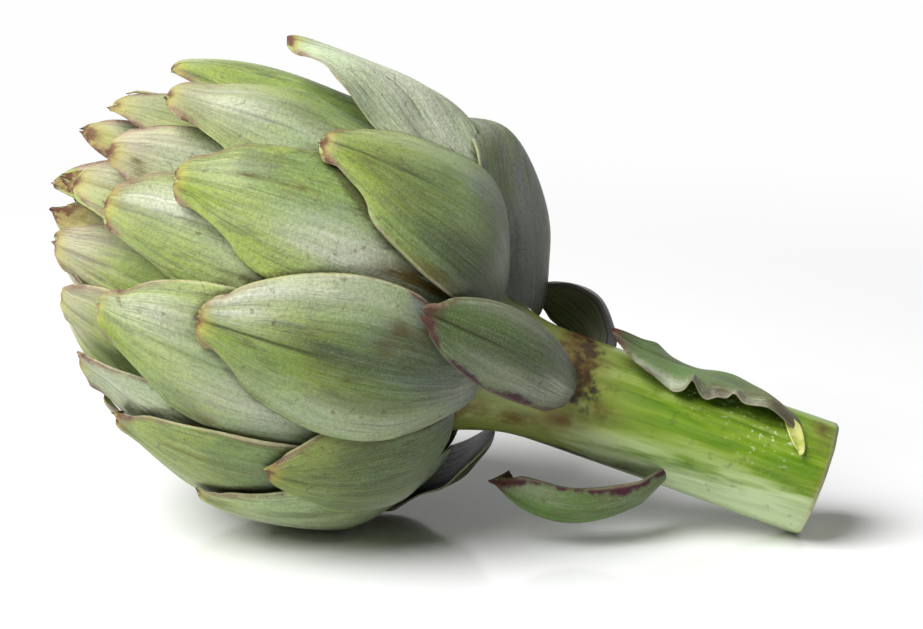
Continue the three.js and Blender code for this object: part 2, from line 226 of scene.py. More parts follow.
def fill_strands(tree, start):
    stretched = tree.add(
        "ShaderNodeVectorMath", settings={"operation": "MULTIPLY"}, i0=start["Place"], i1=start["Stretch"]
    )
    noise = tree.add(
        "ShaderNodeTexNoise", Vector=stretched, Scale=1.0, Detail=start["Detail"], Roughness=0.65
    )
    return [tree.range(noise, start["Low"], start["High"])]


# Strands run along a leaf or a stem: Place goes across, along and by piece, and Stretch sets how fine.
strands = group(
    "strands",
    {
        "Place": (VECTOR, (0, 0, 0)),
        "Stretch": (VECTOR, (20, 1, 1)),
        "Detail": (FLOAT, 3.0),
        "Low": (FLOAT, 0.35),
        "High": (FLOAT, 0.65),
    },
    {"Mask": FLOAT},
    fill_strands,
)


def fill_patches(tree, start):
    place = tree.add("ShaderNodeTexCoord", out="Object")
    noise = tree.add(
        "ShaderNodeTexNoise", Vector=place, Scale=start["Scale"], Detail=start["Detail"], Roughness=0.6
    )
    return [tree.range(noise, start["Low"], start["High"])]


# Patches are uneven areas of another colour, placed by where they are on the whole plant.
patches = group(
    "patches",
    {"Scale": (FLOAT, 60.0), "Detail": (FLOAT, 3.0), "Low": (FLOAT, 0.45), "High": (FLOAT, 0.6)},
    {"Mask": FLOAT},
    fill_patches,
)


def fill_scratches(tree, start):
    place = tree.add("ShaderNodeTexCoord", out="Object")
    lines = tree.add(
        "ShaderNodeTexNoise", Vector=place, Scale=start["Scale"], Detail=1.0, Roughness=0.4, Distortion=0.6
    )
    off = tree.math("ABSOLUTE", tree.math("SUBTRACT", lines, 0.5))
    where = tree.add("ShaderNodeTexNoise", Vector=place, Scale=150.0, Detail=2.0)
    return [tree.times(tree.range(off, 0.007, 0.0), tree.range(where, 0.56, 0.64))]


# Scratches are short curved hairlines.
scratches = group("scratches", {"Scale": (FLOAT, 120.0)}, {"Mask": FLOAT}, fill_scratches)


def material(name):
    made = bpy.data.materials.new(name)
    made.use_nodes = True
    return made, Tree(made.node_tree), made.node_tree.nodes["Principled BSDF"]


# greens in strands, paler at the neck, and paler underneath, partly its own colour and partly painted light
# bounced up from the table
stem_skin, tree, shader = material("stem_skin")
place = tree.attribute("stem_place", "Vector")
from_heart = tree.add("ShaderNodeSeparateXYZ", out="Z", Vector=place)
bands = tree.use(strands, Place=place, Stretch=(3.2, 3.2, 2.5), Low=0.38, High=0.62)
fibres = tree.use(strands, Place=place, Stretch=(14.0, 14.0, 4.0), Detail=4.0, Low=0.3, High=0.7)
green = tree.mix(bands, colour(82, 122, 0), colour(126, 154, 24))
neck = tree.range(from_heart, 0.62, 0.3)
green = tree.mix(neck, green, colour(136, 144, 74))
green = tree.mix(tree.times(fibres, 0.18), green, colour(172, 192, 100))
shades = tree.use(strands, Place=place, Stretch=(9.0, 9.0, 3.0), Detail=6.0, Low=0.5, High=0.7)
green = tree.mix(tree.times(shades, 0.5), green, colour(62, 92, 10))
streaky = tree.times(tree.math("SUBTRACT", bands, 0.5), 0.5)
pale_belly_and_bounce = tree.math("ADD", tree.attribute("below"), streaky)
green = tree.mix(tree.range(pale_belly_and_bounce, 0.0, 1.0, 0.0, 0.9), green, colour(196, 212, 166))
specks = tree.use(patches, Scale=800.0, Detail=2.0, Low=0.6, High=0.68)
green = tree.mix(tree.times(specks, tree.attribute("wet")), green, colour(206, 216, 176))
# bruises, stains and crusts where old leaves have come away
bruise = tree.use(patches, Scale=70.0, Detail=5.0, Low=0.56, High=0.68)
green = tree.mix(tree.times(bruise, 0.35), green, colour(108, 106, 50))
blotchy = tree.use(patches, Scale=160.0, Detail=5.0, Low=0.3, High=0.6)
stain = tree.times(tree.attribute("stain"), blotchy)
green = tree.mix(stain, green, tree.mix(bands, colour(78, 52, 20), colour(104, 80, 34)))
crust = tree.use(patches, Scale=380.0, Detail=9.0, Low=0.3, High=0.7)
ragged = tree.math("ADD", tree.attribute("bark"), crust)
green = tree.mix(tree.range(ragged, 0.7, 1.5), green, tree.mix(crust, colour(84, 62, 22), colour(40, 30, 12)))
purple = tree.use(patches, Scale=330.0, Detail=6.0, Low=0.4, High=0.55)
green = tree.mix(tree.times(tree.attribute("purple"), purple), green, colour(88, 40, 58))
# the cut face: pale pith in a ring of fibres, dried along its rim
cut = tree.attribute("cut_face")
pith = tree.use(patches, Scale=500.0, Detail=3.0, Low=0.4, High=0.65)
flesh = tree.mix(pith, colour(196, 202, 150), colour(222, 222, 184))
ring = tree.attribute("fibre_ring")
flesh = tree.mix(tree.times(ring, 0.7), flesh, colour(140, 160, 80))
green = tree.mix(cut, green, flesh)
green = tree.mix(tree.attribute("cut_rim"), green, colour(160, 112, 56))
tree.join(green, shader.inputs["Base Color"])
tree.join(tree.range(fibres, 0.0, 1.0, 0.36, 0.5), shader.inputs["Roughness"])
shader.inputs["Specular IOR Level"].default_value = 0.25
height = tree.math("ADD", fibres, tree.times(bands, 2.0))
tree.join(
    tree.add("ShaderNodeBump", Height=height, Strength=0.5, Distance=0.12 * MM),
    shader.inputs["Normal"],
)

stem = copy_of("stem_and_heart", "stem")
round_off(stem, ROUNDS, STEM_SHARP)
points = points_of(stem)
far_end = node_points("stem_and_heart")
far_end = far_end[far_end[:, 0] > far_end[:, 0].max() - CUT_REACH * MM]
end_middle = far_end.mean(0)
heart_foot = HUB - HEART_DEPTH * MM * CROWN
stem_line = unit(end_middle - heart_foot)
stem_under = unit(np.cross(stem_line, (0.0, -1.0, 0.0)))
stem_front = np.cross(stem_under, stem_line)
from_foot = points - heart_foot
along = from_foot @ stem_line
under = from_foot @ stem_under
front = from_foot @ stem_front
turn = np.arctan2(under, front)  # 0 in front, a quarter turn on underneath
radius = np.hypot(under, front)
length = along.max()
keep(stem, "stem_place", np.column_stack([np.cos(turn), np.sin(turn), along / length]))
# the paler underside partly paints light bounced up from the table
keep(stem, "below", ramp(np.sin(turn), -0.1, 0.6) * ramp(along / length, 0.25, 0.5))
end_face = ramp(normals_of(stem) @ stem_line, 0.6, 0.9) * (along > 0.9 * length)
keep(stem, "cut_face", end_face)
from_pith = radius / radius[end_face > 0.5].max()
keep(stem, "fibre_ring", end_face * np.exp(-((from_pith - FIBRE_RING[0]) / FIBRE_RING[1]) ** 2))
dried = ramp(np.sin(3 * turn + 1), -1.4, 0.6)
keep(stem, "cut_rim", np.exp(-(((length - along) / (CUT_RIM * MM)) ** 2)) * (1 - end_face) * dried)


def stem_spots(spots):
    """Soft spots on the stem: each has its place along and around, its size both ways and its strength."""
    total = np.zeros(len(points))
    for where, around, long, wide, strong in spots:
        gap = (turn - around + math.pi) % (2 * math.pi) - math.pi
        total += strong * np.exp(-(((along / length - where) / long) ** 2) - (gap / wide) ** 2)
    return np.clip(total, 0, 1)


stains = [
    (0.31, -0.9, 0.035, 0.6, 1.2),
    (0.36, -0.6, 0.05, 0.3, 1.0),
    (0.42, -0.1, 0.05, 0.1, 1.2),
    (0.36, 0.1, 0.05, 0.1, 1.0),
    (0.26, 0.25, 0.07, 0.1, 0.9),
    (0.14, 0.2, 0.08, 0.12, 1.0),
    (0.07, 0.3, 0.05, 0.4, 1.0),
    (0.53, 0.6, 0.04, 0.12, 1.0),
    (0.96, -1.1, 0.03, 0.3, 1.0),
    (0.55, 2.6, 0.06, 0.3, 0.8),
    (0.8, 2.0, 0.04, 0.4, 0.6),
]
crusts = [(0.335, -1.0, 0.03, 0.25, 0.8), (0.365, -0.65, 0.03, 0.3, 1.0), (0.38, -0.3, 0.035, 0.2, 0.9)]
purples = [(0.32, -1.25, 0.05, 0.18, 1.6), (0.42, 0.62, 0.09, 0.12, 1.0)]
wets = [(0.66, -0.8, 0.12, 0.25, 0.9), (0.85, -0.5, 0.08, 0.35, 0.9), (0.6, 1.9, 0.1, 0.4, 0.6)]
for name, spots in {"bark": crusts, "purple": purples, "wet": wets, "stain": stains}.items():
    keep(stem, name, stem_spots(spots))
stem.data.materials.append(stem_skin)
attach(stem, "root")
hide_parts("stem_and_heart")

# ---- Choke ----
# The choke is the dome of fine straw-coloured bristles that stands on the heart, inside the head. It
# grows from the heart, each bristle on end.
bristles, tree, shader = material("choke_bristles")
where = tree.add("ShaderNodeTexCoord", out="Object")
fine = tree.add("ShaderNodeTexNoise", Vector=where, Scale=1800.0, Detail=3.0)
tree.join(tree.mix(fine, colour(178, 160, 104), colour(226, 216, 170)), shader.inputs["Base Color"])
tree.join(tree.range(fine, 0.3, 0.7, 0.7, 0.95), shader.inputs["Roughness"])
tree.join(tree.add("ShaderNodeBump", Height=fine, Strength=0.8, Distance=0.4 * MM), shader.inputs["Normal"])
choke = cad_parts["choke"]
choke.data.materials.clear()
choke.data.materials.append(bristles)

# ---- Bracts ----
# The bracts are thick fleshy leaves that wrap the head in overlapping rows. They grow from the heart
# by broad bases, are sage green with fine strands and a grey bloom, and end in a browned notched tip.
SHARP_RIM = 100  # degrees; a leaf's rim and foot turn further, and stay sharp
NEAR_BASE, NEAR_TIP = 5, 2  # degrees of its sweep round the head, over which each end is averaged
WIDTHS = 201  # places along a leaf where its width is taken
WIDTH_REACH = 0.006  # of its length, to both sides of each place
EVENED = 17, 9  # neighbouring widths that are averaged, the first time and the second
END_RADIUS = 7.5  # mm, the round that a blunt tip is brought to
END_FADE = 6, 10  # mm from the tip, where that dies away
CURLS = 0.88  # where along a leaf its tip starts to curl out
TUCKED = 5.0 * MM  # a leaf is darkened this near to the edge that covers it, by painted shade and some dirt
RAYS = 6  # looks round each point for such an edge
LOOK_FROM = 0.15 * MM  # off the skin, where they start
LOOK_OUT, LOOK_ASIDE = 0.45, 0.9  # how steeply they rise
RESTING = 0.2 * MM  # how far off the stem's skin a leaf that lies on it is kept
DEEPEST = 3 * MM  # what lies deeper in the stem than this isn't moved


def leaf_skin(name, base, middle, upper, lime, lining, rim, rim_width, pale_edge, tip, felt, haze):
    """The material of one kind of leaf: colours from base to tip, then of its margin in millimetres."""
    made, tree, shader = material(name)
    place = tree.attribute("leaf_place", "Vector")
    along = tree.add("ShaderNodeSeparateXYZ", out="Y", Vector=place)
    # where each colour shows: strands that follow the leaf, then patches, flecks and hairlines
    fine = tree.use(strands, Place=place, Stretch=(30.0, 1.6, 1.0), Detail=6.0, Low=0.25, High=0.78)
    broad = tree.use(strands, Place=place, Stretch=(6.0, 1.6, 3.0), Detail=4.0, Low=0.3, High=0.7)
    blotches = tree.use(strands, Place=place, Stretch=(3.4, 3.6, 5.0), Detail=9.0, Low=0.5, High=0.62)
    smudges = tree.use(strands, Place=place, Stretch=(9.0, 7.0, 9.0), Detail=9.0, Low=0.54, High=0.66)
    pale = tree.use(strands, Place=place, Stretch=(11.0, 4.0, 6.0), Detail=8.0, Low=0.5, High=0.72)
    threads = tree.use(strands, Place=place, Stretch=(90.0, 8.0, 2.0), Detail=3.0, Low=0.45, High=0.8)
    streaks = tree.use(strands, Place=place, Stretch=(24.0, 3.0, 7.0), Detail=8.0, Low=0.53, High=0.7)
    uneven = tree.use(patches, Scale=60.0, Detail=7.0, Low=0.32, High=0.68)
    grain = tree.use(patches, Scale=1300.0, Detail=4.0, Low=0.35, High=0.65)
    fleck = tree.use(patches, Scale=380.0, Detail=6.0, Low=0.62, High=0.7)
    hairs = tree.use(scratches, Scale=130.0)
    stipple = tree.use(patches, Scale=3000.0, Detail=3.0, Low=0.45, High=0.7)
    # base, middle and upper part run into each other unevenly, and a leaf is darker or paler as a whole,
    # partly at random and partly as painted shade and painted light
    drift = tree.times(tree.math("SUBTRACT", uneven, 0.5), 0.5)
    shift = tree.math("ADD", along, drift)
    skin = tree.mix(tree.range(shift, 0.1, 0.5), base, middle)
    skin = tree.mix(tree.range(shift, 0.55, 1.0), skin, upper)
    tone_and_shading = tree.attribute("tone_and_shading")
    skin = tree.mix(tree.range(tone_and_shading, 0.0, -1.0), skin, colour(16, 20, 11))
    skin = tree.mix(tree.range(tone_and_shading, 0.0, 1.0), skin, colour(196, 214, 168))
    marks = tree.range(tone_and_shading, -1.0, -0.2, 0.05, 1.0)
    # limes, blooms, lilac and dusky places break up along the strands
    follow = tree.math("ADD", tree.range(broad, 0.0, 1.0, 0.35, 0.85), tree.times(uneven, 0.5))
    skin = tree.mix(tree.times(tree.attribute("lime"), follow), skin, lime)
    lilac = tree.times(tree.attribute("lilac"), tree.range(broad, 0.0, 1.0, 0.6, 1.0))
    skin = tree.mix(lilac, skin, colour(112, 110, 112))
    above_base = tree.range(along, 0.02, 0.35, 0.25, 1.0)
    skin = tree.mix(tree.times(pale, 0.28, marks), skin, colour(190, 201, 166))
    skin = tree.mix(tree.times(blotches, 0.6, above_base), skin, colour(84, 98, 28))
    skin = tree.mix(tree.times(smudges, 0.5), skin, colour(70, 78, 36))
    dusk = tree.times(tree.attribute("dusk"), follow)
    skin = tree.mix(dusk, skin, colour(46, 64, 18))
    bloom = tree.times(tree.attribute("bloom"), tree.range(broad, 0.0, 1.0, 0.55, 1.0))
    skin = tree.mix(bloom, skin, colour(212, 215, 196))
    skin = tree.mix(tree.times(fine, 0.13, marks), skin, colour(200, 206, 184))
    skin = tree.mix(tree.times(streaks, 0.5), skin, colour(74, 82, 46))
    skin = tree.mix(tree.times(grain, 0.25), skin, colour(70, 84, 46))
    skin = tree.mix(tree.times(threads, 0.16, marks), skin, colour(206, 208, 184))
    skin = tree.mix(tree.times(fleck, 0.55), skin, colour(96, 78, 52))
    skin = tree.mix(tree.times(hairs, 0.55), skin, colour(84, 66, 46))
    skin = tree.mix(tree.times(stipple, felt, marks), skin, colour(206, 212, 196))
    blush = tree.times(tree.attribute("blush"), tree.range(uneven, 0.0, 1.0, 0.5, 1.0))
    skin = tree.mix(blush, skin, tree.mix(broad, colour(182, 160, 150), colour(206, 196, 172)))
    skin = tree.mix(tree.attribute("crease"), skin, colour(54, 56, 30))
    torn = tree.use(strands, Place=place, Stretch=(9.0, 9.0, 14.0), Detail=9.0, Low=0.36, High=0.54)
    scar = tree.times(tree.attribute("scar"), torn)
    skin = tree.mix(scar, skin, tree.mix(streaks, colour(88, 74, 32), colour(50, 34, 20)))
    # a dusky purple margin that widens towards the tip, with a cream edge
    wobble = tree.times(tree.math("SUBTRACT", uneven, 0.5), 3.0 * rim_width)
    inward = tree.math("ADD", tree.attribute("inward"), wobble)
    near_tip = tree.range(tree.attribute("to_tip"), haze, 3.0)
    tinted = tree.times(tree.range(inward, 3.4, 0.6, 0.0, 0.75), near_tip)
    skin = tree.mix(tinted, skin, colour(142, 104, 96))
    margin = tree.range(inward, 1.5 * rim_width, 0.5 * rim_width)
    line = tree.times(margin, tree.attribute("rimmed"))
    skin = tree.mix(line, skin, rim)
    cream = tree.range(tree.attribute("inward"), 0.7, 0.15, 0.0, pale_edge)
    skin = tree.mix(cream, skin, colour(208, 204, 160))
    browned = tree.math("ADD", tree.attribute("to_tip"), wobble)
    skin = tree.mix(tree.range(browned, 6.0, 2.0, 0.0, 0.5), skin, tip)
    scabs = tree.use(patches, Scale=420.0, Detail=6.0, Low=0.42, High=0.56)
    by_tip = tree.range(tree.attribute("to_tip"), 15.0, 6.0, 0.3, 1.0)
    edge = tree.times(tree.range(inward, 2.2, 0.3), by_tip)
    skin = tree.mix(tree.times(edge, scabs, 0.75), skin, colour(92, 54, 44))
    end = tree.times(tree.range(browned, 3.2, 1.2), tree.range(scabs, 0.0, 1.0, 0.35, 1.0))
    skin = tree.mix(tree.times(end, 0.8), skin, colour(98, 60, 50))
    # the hollow inner side, and a grey band over one half with the rim's colour along its edge
    lined = tree.mix(tree.times(fine, 0.5, marks), lining, colour(206, 212, 166))
    # painted shade: on a leaf made dark as a whole, the hollow inner side is taken almost to black as well
    lined = tree.mix(tree.range(tone_and_shading, -0.2, -1.0), lined, colour(14, 15, 9))
    skin = tree.mix(tree.times(tree.attribute("inside"), 0.85), skin, lined)
    ribbon = tree.attribute("ribbon")
    skin = tree.mix(ribbon, skin, tree.mix(streaks, colour(112, 108, 108), colour(70, 66, 66)))
    ribbon_edge = tree.times(ribbon, tree.math("SUBTRACT", 1.0, ribbon))
    skin = tree.mix(tree.times(ribbon_edge, 3.6), skin, rim)
    # painted shade, with some dirt and bruising, where the leaf slips under the next one's edge
    shade_and_dirt = tree.times(tree.attribute("tucked"), tree.range(uneven, 0.0, 1.0, 0.5, 1.0))
    skin = tree.mix(tree.times(shade_and_dirt, 0.85), skin, colour(54, 42, 22))
    tree.join(skin, shader.inputs["Base Color"])
    tree.join(tree.range(fine, 0.0, 1.0, 0.4, 0.56), shader.inputs["Roughness"])
    shader.inputs["Specular IOR Level"].default_value = 0.15
    shader.inputs["Sheen Weight"].default_value = 0.02
    height = tree.math("ADD", tree.times(fine, 0.3), tree.times(broad, 1.2))
    height = tree.math("ADD", height, tree.times(grain, 0.35))
    height = tree.math("ADD", height, tree.times(smudges, 0.5))
    height = tree.math("SUBTRACT", height, tree.times(hairs, 0.7))
    height = tree.math("SUBTRACT", height, tree.times(scar, 0.4))
    tree.join(
        tree.add("ShaderNodeBump", Height=height, Strength=0.6, Distance=0.25 * MM),
        shader.inputs["Normal"],
    )
    return made


bract_skin = leaf_skin(
    "bract_skin",
    base=colour(98, 116, 104),
    middle=colour(116, 144, 62),
    upper=colour(152, 170, 68),
    lime=colour(130, 152, 0),
    lining=colour(140, 158, 74),
    rim=colour(116, 84, 82),
    rim_width=0.5,
    pale_edge=0.55,
    tip=colour(178, 168, 72),
    felt=0.12,
    haze=26.0,
)


def evened(values, count):
    """Each value as the average of the count values round it."""
    return np.convolve(np.pad(values, count // 2, mode="edge"), np.ones(count) / count, "valid")


class Leaf:
    """A leaf's own coordinates: along its spine from base to tip, across it, and which side."""

    def __init__(self, piece, hub):
        points = points_of(piece) - hub
        far = np.linalg.norm(points, axis=1)
        rays = points / far[:, None]
        polar = np.degrees(np.arccos(np.clip(rays @ CROWN, -1, 1)))
        base = unit(rays[polar > polar.max() - NEAR_BASE].mean(0))
        swing = np.degrees(np.arccos(np.clip(rays @ base, -1, 1)))
        tip = unit(rays[swing > swing.max() - NEAR_TIP].mean(0))
        across = unit(np.cross(base, tip))
        ahead = np.cross(across, base)
        self.piece, self.hub, self.far, self.rays = piece, hub, far, rays
        self.arc = np.arctan2(rays @ ahead, rays @ base)
        self.along = np.clip(self.arc / self.arc.max(), 0, 1)
        aside = np.arcsin(np.clip(rays @ across, -1, 1))
        self.length = self.arc.max() * np.median(far)
        stops = np.linspace(0, 1, WIDTHS)
        near = [np.abs(self.along - stop) < WIDTH_REACH for stop in stops]
        widths = [np.abs(aside[there]).max(initial=0.01) for there in near]
        widths = evened(np.maximum(widths, evened(widths, EVENED[0])), EVENED[1])
        half_width = np.interp(self.along, stops, widths)
        self.across = np.clip(aside / half_width, -1, 1)
        self.across_line = across
        self.aside = aside * far
        self.half_width = half_width * far
        self.to_end = (1 - self.along) * self.length
        self.inward = np.minimum((1 - np.abs(self.across)) * self.half_width, self.to_end)
        self.outer = ramp(np.einsum("ij,ij->i", normals_of(piece), rays), -0.2, 0.2)
        self.to_tip = np.hypot(self.to_end, self.aside)
        self.back = base - tip


def unit_rows(rows):
    return rows / np.linalg.norm(rows, axis=1)[:, None]


def fading(leaf, along, across, long, wide):
    """1 at a place on a leaf, fading to 0 over a size along it and a size across it."""
    return np.exp(-(((leaf.along - along) / long) ** 2) - ((leaf.across - across) / wide) ** 2)


def blobs(leaf, spots):
    """Soft spots on a leaf: each has its place along and across, its size both ways and its strength."""
    total = np.zeros(len(leaf.along))
    for *spot, strong in spots:
        total += strong * fading(leaf, *spot)
    return np.clip(total, 0, 1)


def blunt_end(leaf, blunt):
    """How far each point moves aside, so that the tip is round and blunt instead of pointed."""
    short = 1 - np.clip(leaf.to_end / (END_RADIUS * MM), 0, 1)
    wanted = blunt * END_RADIUS * MM * np.sqrt(1 - short**2)
    stretch = np.clip(wanted / leaf.half_width, 1, 5)
    fade = ramp(-leaf.to_end, -END_FADE[1] * MM, -END_FADE[0] * MM)
    return (leaf.aside * (stretch - 1) * fade)[:, None] * leaf.across_line


def pulled(leaf, pulls):
    """Soft pulls on a leaf: each has a place along and across, a size both ways and a move in millimetres."""
    total = np.zeros((len(leaf.along), 3))
    for *spot, move in pulls:
        total += fading(leaf, *spot)[:, None] * np.array(move) * MM
    return total


def shape_leaf(
    leaf,
    wild,
    crease=0.3,
    curl=0.0,
    notch=0.5,
    spine=0.2,
    roll=0.5,
    waves=0.3,
    blunt=1.0,
    pulls=(),
):
    """Gives a smooth leaf its crease, wavy rolled margin, dents, curled end and notched tip, all in mm."""
    v, u = leaf.along, leaf.across
    sway = wild.uniform(0, 2 * math.pi, 6)
    valley = crease * np.exp(-((leaf.aside / (1.2 * MM)) ** 2)) * ramp(v, 0.4, 0.8) * ramp(1 - v, 0, 0.05)
    wave = waves * np.abs(u) ** 6 * np.sin(14 * v + sway[0]) * np.sin(9 * v + sway[1]) * ramp(v, 0.3, 0.6)
    dents = np.sin(5 * u + 3 * v + sway[2]) * np.sin(7 * v + sway[3]) + 0.6 * np.sin(11 * u * v + sway[4])
    dents = 0.2 * dents * leaf.outer * (1 - u**4)
    rolled = roll * (1 - np.clip(leaf.inward / (1.6 * MM), 0, 1)) ** 2
    rolled += 2 * roll * (1 - np.clip(leaf.to_end / (3.5 * MM), 0, 1)) ** 2
    lifted = curl * ramp(v, CURLS, 1.0)
    points = leaf.hub + leaf.rays * (leaf.far + MM * (wave + dents + lifted - valley - rolled))[:, None]
    cut_in = notch * np.exp(-((leaf.aside / MM / 1.2) ** 2) - (leaf.to_end / MM / 2.0) ** 2)
    spike = (notch + spine) * np.exp(-((leaf.aside / MM / 0.35) ** 2) - (leaf.to_end / MM / 0.9) ** 2)
    notched = MM * (cut_in - spike)[:, None] * leaf.back
    return points + blunt_end(leaf, blunt) + pulled(leaf, pulls) + notched


def paint_leaf(
    leaf,
    wild,
    lime=(),
    bloom=(),
    dusk=(),
    scars=(),
    tone_and_shading=None,
    lilac=0.5,
    line=0.4,
    rimmed=0.5,
    grey=0.0,
    ribbon=0.0,
    blush=0.0,
):
    """Stores what a leaf's material reads: its coordinates, and where each colour lies on it."""
    piece, v, u = leaf.piece, leaf.along, leaf.across
    side = wild.uniform(-0.4, 0.4)
    auto_lime = [(0.9, side, 0.07, 0.5, 0.8), (0.62, side, 0.2, 0.45, wild.uniform(0.2, 0.6))]
    auto_bloom = [(0.95, -0.3, 0.06, 0.5, 0.35), (0.8, -0.7, 0.2, 0.35, wild.uniform(0.1, 0.4))]
    keep(piece, "leaf_place", np.column_stack([u, v, np.full(len(u), wild.uniform(0, 50))]))
    keep(piece, "inside", 1 - leaf.outer)
    keep(piece, "lime", blobs(leaf, lime or auto_lime))
    keep(piece, "bloom", blobs(leaf, bloom or auto_bloom) * leaf.outer)
    keep(piece, "dusk", blobs(leaf, dusk))
    # a leaf's darkness or paleness as a whole: at random unless given, and where given it also paints shade
    # on leaves low under the head and light on leaves turned up to the lamp
    keep(piece, "tone_and_shading", np.full(len(u), wild.uniform(-0.15, 0.15) if tone_and_shading is None else tone_and_shading))
    keep(piece, "scar", blobs(leaf, scars) * leaf.outer)
    keep(piece, "lilac", np.clip(lilac * ramp(-v, -0.5, -0.1) + grey, 0, 1))
    keep(piece, "ribbon", ramp(ribbon * u, 0.25, 0.45) if ribbon else np.zeros(len(u)))
    keep(piece, "blush", blush * ramp(v, 0.75, 1.0) * leaf.outer)
    keep(piece, "rimmed", np.interp(u, [-1, 1], np.broadcast_to(rimmed, 2)))
    keep(piece, "inward", leaf.inward / MM)
    keep(piece, "to_tip", leaf.to_tip / MM)
    mid = np.exp(-((leaf.aside / (0.3 * MM)) ** 2)) * ramp(v, 0.35, 0.7) * ramp(1 - v, 0, 0.04)
    keep(piece, "crease", line * mid * leaf.outer)


def dress_leaf(node, name, seed, hub, skin, shape, paint, settle=None):
    """The finished leaf of a CAD node. settle is what brings its points to the stem, if anything does."""
    piece = copy_of(node, name)
    round_off(piece, ROUNDS, SHARP_RIM)
    leaf = Leaf(piece, hub)
    wild = np.random.default_rng(seed)
    points = shape_leaf(leaf, wild, **shape)
    paint_leaf(leaf, wild, **paint)
    set_points(piece, settle(points, leaf.along) if settle else points)
    piece.data.materials.append(skin)
    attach(piece, "root")
    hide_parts(node)
    return piece


# what is special about a leaf's shape, in the words of shape_leaf
SHAPES = {
    "outer_bract_1": dict(crease=0.5, notch=0.6),
    "outer_bract_3": dict(blunt=0.7),
    "outer_bract_4": dict(pulls=[(0.6, 0.0, 0.35, 2.0, (0.0, 6.0, 1.0))]),
    "outer_bract_8": dict(
        blunt=0.5,
        roll=0.3,
        waves=0.0,
        notch=0.0,
        spine=0.0,
        pulls=[(1.0, 1.0, 0.14, 0.8, (0.5, 0.0, -2.5)), (1.0, -1.0, 0.12, 0.8, (-0.5, 0.0, 1.0))],
    ),
    "outer_bract_9": dict(
        blunt=0.0,
        pulls=[
            (0.5, 0.5, 0.25, 0.8, (4.5, 0.0, 7.0)),
            (0.02, 0.9, 0.12, 0.5, (-5.0, 0.0, -3.5)),
            (0.0, 0.3, 0.08, 0.6, (1.0, 0.0, -3.5)),
        ],
    ),
    "middle_bract_1": dict(notch=2.5, curl=1.0),
    "middle_bract_6": dict(curl=2.0),
    "upper_bract_1": dict(curl=1.5, pulls=[(1.0, 0.0, 0.12, 2.0, (4.5, 0.0, 1.0))]),
}
# what a row's other leaves share
ROW_SHAPES = {"crown_bract": dict(spine=0.0, waves=0.6)}
ROW_PAINTS = {
    "upper_bract": dict(blush=0.5, rimmed=0.8),
    "crown_bract": dict(lime=[(0.9, 0.0, 0.15, 0.6, 0.7)], lilac=0.0, rimmed=1.0, tone_and_shading=0.1, blush=0.6),
}
